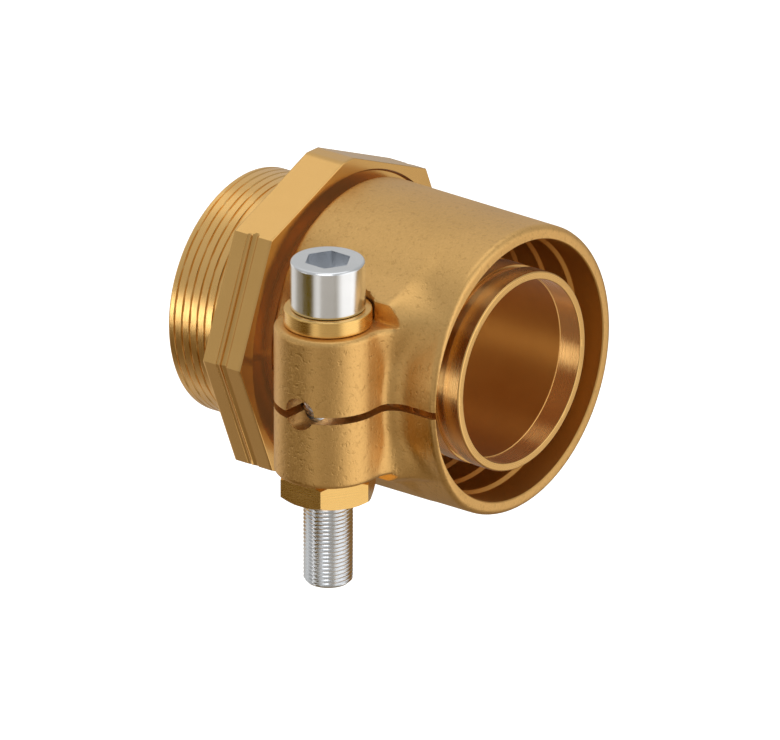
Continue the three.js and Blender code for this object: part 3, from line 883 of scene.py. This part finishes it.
# Lights that reach only some pieces and shine through others: direction, side in metres, watts.
LINKED_LIGHTS = [
    ("thread_left", -125, -8, 0.36, 0.46, ("nipple",), ("nipple", "sleeve")),
    ("thread_top", 165, 53, 0.36, 0.10, ("nipple",), ("nipple", "sleeve")),
    ("mouth_fill", 52, -24, 0.60, 0.06, ("nipple",), ("nipple", "sleeve")),
    ("behind_fill", 180, 0, 3.00, 2.2, ("nipple",), ("nipple", "sleeve")),
    ("low_left", -150, -45, 0.80, 0.14, ("nipple",), ("nipple", "sleeve")),
    ("low_back", 150, -46, 0.80, 0.22, ("nipple",), ("nipple", "sleeve")),
    ("fastener_fill", -62, -20, 1.10, 0.60, ("screw", "washer", "nut"), ("sleeve",)),
    ("screw_thread", -62, 38, 0.70, 2.0, ("screw",), ("sleeve", "nut")),
    ("screw_left", -148, -20, 0.50, 0.14, ("screw", "nut", "washer"), ("sleeve",)),
]
SKY = [(-1.0, (0.27, 0.22, 0.155)), (-0.7, (0.28, 0.23, 0.165)), (-0.35, (0.33, 0.285, 0.22)),
       (0.0, (0.42, 0.395, 0.355)), (0.4, (0.46, 0.46, 0.45)), (1.0, (0.56, 0.56, 0.55))]


def direction(azimuth, elevation):
    a, e = math.radians(azimuth), math.radians(elevation)
    return Vector((math.cos(a) * math.cos(e), math.sin(a) * math.cos(e), math.sin(e)))


def world():
    """White behind the object; reflections see a grey room with a few soft boxes."""
    made = bpy.data.worlds.new("studio")
    bpy.context.scene.world = made
    made.use_nodes = True
    tree = made.node_tree
    tree.nodes.clear()
    link = tree.links.new

    def add(kind, **settings):
        node = tree.nodes.new(kind)
        for key, value in settings.items():
            setattr(node, key, value)
        return node

    ray = add("ShaderNodeTexCoord").outputs["Generated"]

    def along(axis, size):
        node = add("ShaderNodeVectorMath", operation="DOT_PRODUCT")
        link(ray, node.inputs[0])
        node.inputs[1].default_value = axis / size
        return node.outputs["Value"]

    def sum_of(operation, a, b):
        node = add("ShaderNodeMath", operation=operation)
        for socket, value in zip(node.inputs, (a, b)):
            if isinstance(value, bpy.types.NodeSocket):
                link(value, socket)
            else:
                socket.default_value = value
        return node.outputs["Value"]

    total = None
    for azimuth, elevation, half_width, half_height, level in SOFT_BOXES:
        axis = direction(azimuth, elevation)
        side = direction(azimuth + 90, 0)
        top = axis.cross(side)
        a = along(side, math.sin(math.radians(half_width)))
        b = along(top, math.sin(math.radians(half_height)))
        off = sum_of("SQRT", sum_of("ADD", sum_of("MULTIPLY", a, a), sum_of("MULTIPLY", b, b)), 0)
        glow = add("ShaderNodeMapRange", interpolation_type="SMOOTHSTEP")
        link(off, glow.inputs["Value"])
        for key, value in (("From Min", 1.35), ("From Max", 0.65), ("To Min", 0.0), ("To Max", level)):
            glow.inputs[key].default_value = value
        ahead = sum_of("GREATER_THAN", along(axis, 1.0), 0.0)
        term = sum_of("MULTIPLY", glow.outputs["Result"], ahead)
        total = term if total is None else sum_of("ADD", total, term)

    height = add("ShaderNodeMapRange")
    link(along(Vector((0, 0, 1)), 1.0), height.inputs["Value"])
    height.inputs["From Min"].default_value = -1
    sky = add("ShaderNodeValToRGB")
    stops = sky.color_ramp.elements
    for index, (position, color) in enumerate(SKY):
        place = (position + 1) / 2
        stop = stops[index] if index < 2 else stops.new(place)
        stop.position, stop.color = place, (*color, 1)
    link(height.outputs["Result"], sky.inputs["Fac"])

    room = add("ShaderNodeBackground")
    link(sky.outputs["Color"], room.inputs["Color"])
    boxes = add("ShaderNodeBackground")
    boxes.inputs["Color"].default_value = (1, 1, 1, 1)
    link(total, boxes.inputs["Strength"])
    both = add("ShaderNodeAddShader")
    link(room.outputs[0], both.inputs[0])
    link(boxes.outputs[0], both.inputs[1])
    white = add("ShaderNodeBackground")
    white.inputs["Color"].default_value = (1, 1, 1, 1)
    seen = add("ShaderNodeMixShader")
    link(add("ShaderNodeLightPath").outputs["Is Camera Ray"], seen.inputs["Fac"])
    link(both.outputs[0], seen.inputs[1])
    link(white.outputs[0], seen.inputs[2])
    link(seen.outputs[0], add("ShaderNodeOutputWorld").inputs["Surface"])


def collection_of(name, pieces, state):
    """A collection for light linking that names the pieces a light reaches or is not stopped by."""
    made = bpy.data.collections.new(name)
    for piece in pieces:
        made.objects.link(piece)
    for entry in made.collection_objects:
        entry.light_linking.link_state = state
    return made


def reach_only(light, lit, passed):
    """Limits a light to some pieces and lets it through others."""
    light.light_linking.receiver_collection = collection_of(light.name + "_reaches", lit, "INCLUDE")
    light.light_linking.blocker_collection = collection_of(light.name + "_passes", passed, "EXCLUDE")


def lights(pieces):
    middle = (0.045, -0.01, 0)
    area_light("top", (0.1, 0.15, 1.0), middle, (0.7, 0.7), 0.95)
    for name, azimuth, elevation, size, power, lit, passed in LINKED_LIGHTS:
        place = Vector(middle) + direction(azimuth, elevation)
        light = area_light(name, place, middle, (size, size), power)
        reach_only(light, [pieces[key] for key in lit], [pieces[key] for key in (*passed, "floor")])


# ---------------------------------------------------------------- assembly

bpy.context.scene.view_settings.view_transform = "Standard"
bpy.context.scene.view_settings.look = "None"
camera()
world()

fastener_brass = turned_brass("fastener_brass", (SCREW_X, SCREW_Y), "X", "Y", "Z",
                              (0.93, 0.60, 0.21, 1), (0.86, 0.54, 0.18, 1))
pieces = {
    "floor": floor(),
    "nipple": finish_piece(nipple(), "nipple", "threaded_nipple", nipple_brass()),
    "seal": finish_piece(seal(), "nipple", "shoulder_seal_ring", seal_rubber(), 60),
    "sleeve": finish_piece(sleeve(), "sleeve", "clamp_sleeve", cast_brass(),
                           weighted=False),
    "nut": finish_piece(nut(), "sleeve", "clamp_nut", fastener_brass),
    "washer": finish_piece(washer(), "washer", "thick_washer", fastener_brass),
    "screw": finish_piece(screw(), "screw", "clamp_screw", screw_steel()),
}
lights(pieces)
